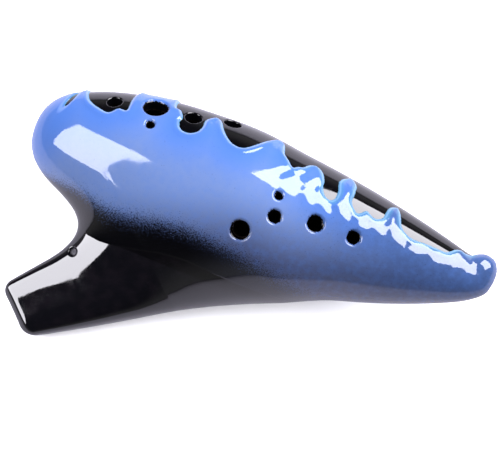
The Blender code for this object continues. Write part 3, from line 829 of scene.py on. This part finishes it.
BLACK = (0.0013, 0.0013, 0.0019)
WARM_BLACK = (0.0030, 0.0024, 0.0034)
AZURE = (0.048, 0.114, 0.345)
LAVENDER = (0.093, 0.144, 0.300)
DEEP_BLUE = (0.031, 0.058, 0.145)
# slate: the colour of the pits, and painted shade on the near side
SLATE = (0.030, 0.036, 0.075)
NAVY = (0.012, 0.019, 0.038)
DARK_SLATE = (0.011, 0.013, 0.022)
THIN_BLUE = (0.050, 0.150, 0.240)
# pale colour painted along the lip's crest as a highlight
PAINTED_LIP_HIGHLIGHT = (0.38, 0.52, 0.85)
CLAY_BROWN = (0.040, 0.022, 0.013)
CLAY_DARK = (0.012, 0.008, 0.006)


def speckle(shades):
    """Share of black overspray as fine grains, dense where the spray is thick."""
    grain = shades.maths('MULTIPLY_ADD', shades.noise(2.7, 2.0, 0.6), 3.2, -1.05)
    spread = shades.maths('SUBTRACT', shades.read("spray"), grain)
    share = shades.maths('MULTIPLY_ADD', spread, 1.5, 0.5)
    node = shades.node('ShaderNodeClamp', Value=share)
    return node.outputs[0]


def blue_colour(shades):
    """Azure by the drips, lavender in the middle, deeper to the tail, with soft mottling; the slate
    towards the near side is partly airbrushed darkening and partly painted shade.
    """
    place = shades.node('ShaderNodeSeparateXYZ', Vector=shades.read("place", 'Vector'))
    cloud = shades.noise(0.06, 3.0)
    inside = shades.maths('ADD', shades.read("drip"), shades.maths('MULTIPLY', cloud, 6.0))
    colour = shades.mix(shades.ramp(inside, 4.0, 20.0), AZURE, LAVENDER)
    colour = shades.mix(shades.ramp(place.outputs[0], 95.0, 150.0), colour, DEEP_BLUE)
    # Painted shade, in part: the blue turns slate towards the near side, which faces away from the
    # lights; the rest is the glaze's airbrushed darkening.
    headwards = shades.maths('MAXIMUM', shades.maths('SUBTRACT', 90.0, place.outputs[0]), 0.0)
    low = shades.ramp(shades.maths('MULTIPLY_ADD', headwards, 0.35, place.outputs[1]), 10.0, -19.0)
    colour = shades.mix(shades.maths('MULTIPLY', low, 0.9), colour, SLATE)
    mottle = shades.noise(0.45, 4.0, 0.6)
    colour = shades.mix(shades.ramp(mottle, 0.35, 0.75, 0.0, 0.22), colour, AZURE)
    pits = shades.noise(1.3, 2.0)
    return shades.mix(shades.ramp(pits, 0.66, 0.80, 0.0, 0.35), colour, SLATE)


def glaze_relief(shades):
    """Slow ripples and a trace of orange peel."""
    ripples = shades.bump(shades.noise(0.05, 1.0), 0.00020)
    return shades.bump(shades.noise(0.8, 2.0), 0.000004, ripples)


def blue_glaze():
    shades = Shades("blue_glaze")
    height = shades.read("height")
    drip = shades.read("drip")
    colour = blue_colour(shades)
    place = shades.node('ShaderNodeSeparateXYZ', Vector=shades.read("place", 'Vector'))
    tailwards = shades.ramp(place.outputs[0], 80.0, 105.0)
    runny = shades.maths('MULTIPLY', shades.ramp(drip, 2.6, 0.5), tailwards)
    edge = shades.maths('MULTIPLY', shades.ramp(height, 0.45, 0.10), shades.ramp(drip, 3.0, 1.5))
    thin = shades.maths('MAXIMUM', shades.maths('MULTIPLY', runny, 0.75), edge)
    colour = shades.mix(thin, colour, THIN_BLUE)
    # Painted highlight: a pale line along the crest of the glaze's lip.
    crest = shades.maths('MULTIPLY', shades.ramp(drip, 0.05, 0.45), shades.ramp(drip, 1.15, 0.55))
    colour = shades.mix(shades.maths('MULTIPLY', crest, 0.15), colour, PAINTED_LIP_HIGHLIGHT)
    shadow = shades.maths('MULTIPLY', shades.ramp(shades.read("spray"), 0.0, 1.1), 0.65)
    colour = shades.mix(shadow, colour, NAVY)
    dark = shades.mix(shades.ramp(place.outputs[0], 70.0, 120.0), BLACK, DARK_SLATE)
    colour = shades.mix(speckle(shades), colour, dark)
    rough = shades.ramp(shades.noise(0.3, 3.0), 0.3, 0.7, 0.035, 0.075)
    return shades.finish(Base_Color=colour, Roughness=rough, IOR=1.52, Normal=glaze_relief(shades))


def black_glaze():
    """Black base glaze outside, thinning to bare brown clay in the bores and the hollow."""
    shades = Shades("black_glaze")
    depth = shades.read("depth")
    blue = blue_colour(shades)
    under_coat = shades.ramp(shades.read("drip"), 0.25, 0.45)
    rim = shades.ramp(shades.read("hole"), 0.15, 0.45)
    blue_share = shades.maths('MULTIPLY', under_coat, rim)
    blue_share = shades.maths('MULTIPLY', blue_share, shades.maths('SUBTRACT', 1.0, speckle(shades)))
    warmth = shades.ramp(shades.noise(0.2, 3.0), 0.4, 0.7, 0.0, 0.6)
    warm = shades.mix(warmth, BLACK, WARM_BLACK)
    outer = shades.mix(blue_share, warm, blue)
    inner = shades.mix(shades.noise(0.9, 4.0, 0.65), CLAY_DARK, CLAY_BROWN)
    bare = shades.ramp(shades.maths('ADD', depth, shades.noise(0.7, 2.0)), 3.6, 5.0)
    colour = shades.mix(bare, outer, inner)
    gloss = shades.ramp(shades.noise(0.3, 3.0), 0.3, 0.7, 0.03, 0.065)
    rough = shades.maths('MULTIPLY_ADD', bare, 0.6, gloss)
    relief = shades.bump(shades.noise(1.6, 4.0), 0.00003, glaze_relief(shades))
    smooth = glaze_relief(shades)
    node = shades.tree.nodes.new('ShaderNodeMix')
    node.data_type = 'VECTOR'
    shades.put(node.inputs[0], bare)
    shades.put(node.inputs[4], smooth)
    shades.put(node.inputs[5], relief)
    return shades.finish(Base_Color=colour, Roughness=rough, IOR=1.52, Normal=node.outputs[1])


def bare_clay():
    shades = Shades("bare_clay")
    grain = shades.noise(1.4, 4.0, 0.65)
    colour = shades.mix(grain, CLAY_DARK, CLAY_BROWN)
    relief = shades.bump(grain, 0.00004)
    rough = shades.ramp(grain, 0.3, 0.7, 0.62, 0.85)
    return shades.finish(Base_Color=colour, Roughness=rough, Normal=relief)


# ---- stage ----

def build_floor():
    mesh = bpy.data.meshes.new("floor")
    corners = [(x * FLOOR_REACH, y * FLOOR_REACH, 0) for x, y in ((-1, -1), (1, -1), (1, 1), (-1, 1))]
    mesh.from_pydata(corners, [], [(0, 1, 2, 3)])
    floor = bpy.data.objects.new("floor", mesh)
    bpy.context.scene.collection.objects.link(floor)
    shades = Shades("pale_floor")
    path = shades.tree.nodes.new('ShaderNodeLightPath')
    tone = shades.mix(path.outputs["Is Camera Ray"], FLOOR_MIRRORED, FLOOR_SEEN)
    place = shades.tree.nodes.new('ShaderNodeNewGeometry')
    away = shades.tree.nodes.new('ShaderNodeVectorMath')
    away.operation = 'LENGTH'
    shades.put(away.inputs[0], place.outputs["Position"])
    far_glow = shades.ramp(away.outputs["Value"], 0.3, 1.6, 0.06, 0.70)
    glow = shades.maths('MULTIPLY', path.outputs["Is Camera Ray"], far_glow)
    mesh.materials.append(shades.finish(Base_Color=tone, Roughness=0.8, Specular_IOR_Level=0.1,
                                        Emission_Color=(1.0, 1.0, 1.0), Emission_Strength=glow))
    return floor


def direction(azimuth, elevation):
    azimuth, elevation = math.radians(azimuth), math.radians(elevation)
    return Vector((math.cos(azimuth) * math.cos(elevation), math.sin(azimuth) * math.cos(elevation),
                   math.sin(elevation)))


def add_softbox(name, target, towards, distance, shift, size, radiance, turn):
    """A rectangular panel facing the target, turned and then shifted along its own sides."""
    light = bpy.data.lights.new(name, 'AREA')
    light.shape = 'RECTANGLE'
    light.size, light.size_y = size
    light.energy = radiance * math.pi * size[0] * size[1]
    light.color = SOFTBOX_TINT
    lamp = bpy.data.objects.new(name, light)
    bpy.context.scene.collection.objects.link(lamp)
    facing = towards.to_track_quat('Z', 'Y').to_matrix() @ Matrix.Rotation(turn, 3, 'Z')
    lamp.location = Vector(target) + towards * distance + facing @ Vector((*shift, 0.0))
    lamp.rotation_euler = facing.to_euler()
    lamp.visible_camera = False
    return lamp


def receivers(name, objects):
    """The only objects that a light is to reach."""
    chosen = bpy.data.collections.new(name)
    for item in objects:
        chosen.objects.link(item)
    return chosen


def build_lights(floor, flared):
    """Softboxes that the glaze mirrors, and a plain wash from above for the floor alone."""
    others = [item for item in bpy.context.scene.objects if item.type == 'MESH' and item not in flared]
    towards = Vector(LEFT_TOWARDS).normalized()
    left = add_softbox("left_softbox", LEFT_TARGET, towards, SOFTBOX_DISTANCE, *LEFT_SOFTBOX)
    left.light_linking.receiver_collection = receivers("not_the_mouthpiece", others)
    low = add_softbox("low_softbox", LEFT_TARGET, towards, SOFTBOX_DISTANCE, *LOW_SOFTBOX)
    low.light_linking.receiver_collection = receivers("mouthpiece_only", flared)
    towards = direction(BACK_AZIMUTH, BACK_ELEVATION)
    add_softbox("back_softbox", BACK_TARGET, towards, SOFTBOX_DISTANCE, *BACK_SOFTBOX)
    wash = add_softbox("floor_wash", (0, 0, 0), Vector((0, 0, 1)), WASH_HEIGHT, *FLOOR_WASH)
    wash.light_linking.receiver_collection = receivers("floor_only", [floor])


def build_world():
    """Pale to the camera, soft fill on matt surfaces, dim in reflections."""
    world = bpy.data.worlds.new("studio")
    bpy.context.scene.world = world
    world.use_nodes = True
    tree = world.node_tree
    background = tree.nodes["Background"]
    path = tree.nodes.new('ShaderNodeLightPath')
    seen = tree.nodes.new('ShaderNodeMapRange')
    seen.inputs["To Min"].default_value = 0.30
    seen.inputs["To Max"].default_value = 1.0
    tree.links.new(path.outputs["Is Camera Ray"], seen.inputs["Value"])
    sky = tree.nodes.new('ShaderNodeTexCoord')
    split = tree.nodes.new('ShaderNodeSeparateXYZ')
    tree.links.new(sky.outputs["Generated"], split.inputs[0])
    above = tree.nodes.new('ShaderNodeMapRange')
    above.interpolation_type = 'SMOOTHERSTEP'
    above.inputs["From Min"].default_value = 0.0
    above.inputs["From Max"].default_value = 0.45
    above.inputs["To Min"].default_value = 1.0
    above.inputs["To Max"].default_value = 0.04
    tree.links.new(split.outputs[2], above.inputs["Value"])
    dimmed = tree.nodes.new('ShaderNodeMix')
    dimmed.inputs[2].default_value = 1.0
    tree.links.new(path.outputs["Is Glossy Ray"], dimmed.inputs[0])
    tree.links.new(above.outputs[0], dimmed.inputs[3])
    strength = tree.nodes.new('ShaderNodeMath')
    strength.operation = 'MULTIPLY'
    tree.links.new(seen.outputs[0], strength.inputs[0])
    tree.links.new(dimmed.outputs[0], strength.inputs[1])
    background.inputs["Color"].default_value = (1.0, 1.0, 1.0, 1.0)
    tree.links.new(strength.outputs[0], background.inputs["Strength"])


def build_camera():
    camera = bpy.data.cameras.new("camera")
    camera.lens = CAMERA_LENS
    camera.sensor_width = 36.0
    camera.clip_end = 20.0
    holder = bpy.data.objects.new("camera", camera)
    bpy.context.scene.collection.objects.link(holder)
    view = Vector((-math.sin(CAMERA_AZIMUTH) * math.cos(CAMERA_ELEVATION),
                   math.cos(CAMERA_AZIMUTH) * math.cos(CAMERA_ELEVATION), -math.sin(CAMERA_ELEVATION)))
    right = Vector((math.cos(CAMERA_AZIMUTH), math.sin(CAMERA_AZIMUTH), 0.0))
    turn = Matrix((right, right.cross(view), -view)).transposed() @ Matrix.Rotation(CAMERA_ROLL, 3, 'Z')
    holder.rotation_euler = turn.to_euler()
    holder.location = Vector(CAMERA_TARGET) - view * CAMERA_DISTANCE
    bpy.context.scene.camera = holder


flared_pieces = build_clay(black_glaze())
build_labium(bare_clay())
build_coat(blue_glaze())

build_lights(build_floor(), flared_pieces)
build_world()
build_camera()
bpy.context.scene.view_settings.view_transform = 'Standard'
